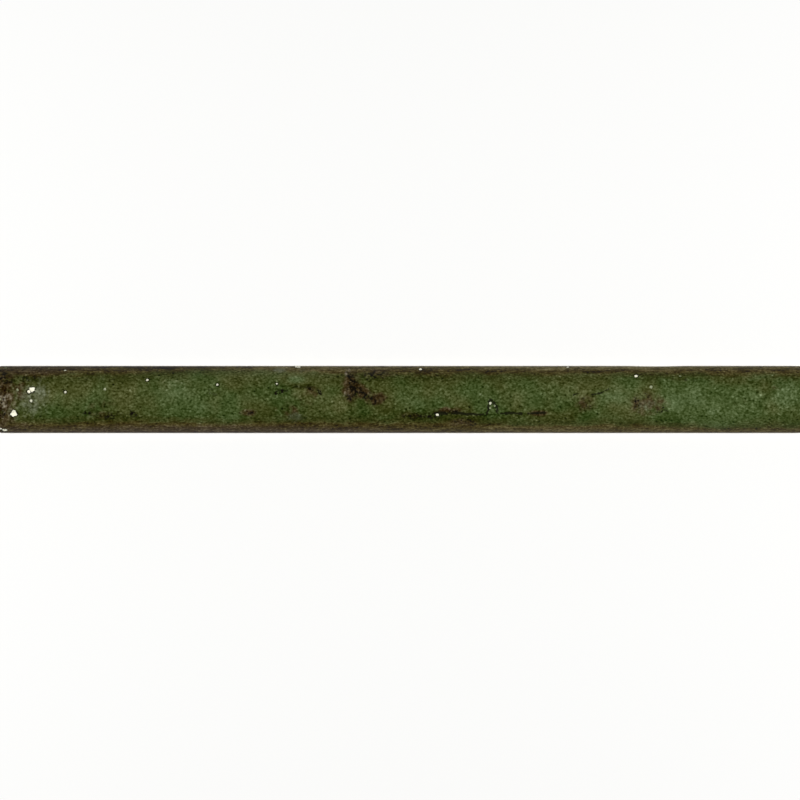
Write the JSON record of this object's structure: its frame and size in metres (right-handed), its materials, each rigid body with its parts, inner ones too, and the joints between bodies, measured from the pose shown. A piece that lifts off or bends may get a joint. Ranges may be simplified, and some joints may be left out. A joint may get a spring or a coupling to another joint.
{
  "type": "half-round ceramic moulding tile",
  "caption": "Half-round ceramic moulding tile with a mottled green glaze that breaks to brown on the flanks, and a keyed back, for edging or dividing tiled walls.",
  "frame": {"origin": "middle of the flat back, where the tile rests", "axes": "+X along the length, +Y across the width towards the picture's top, +Z from the back up to the crown"},
  "size_m": [0.3, 0.025, 0.013],
  "materials": {
    "green_glaze": "satin"
  },
  "bodies": {
    "root": {"moulding_tile": "green_glaze"}
  },
  "joints": []
}
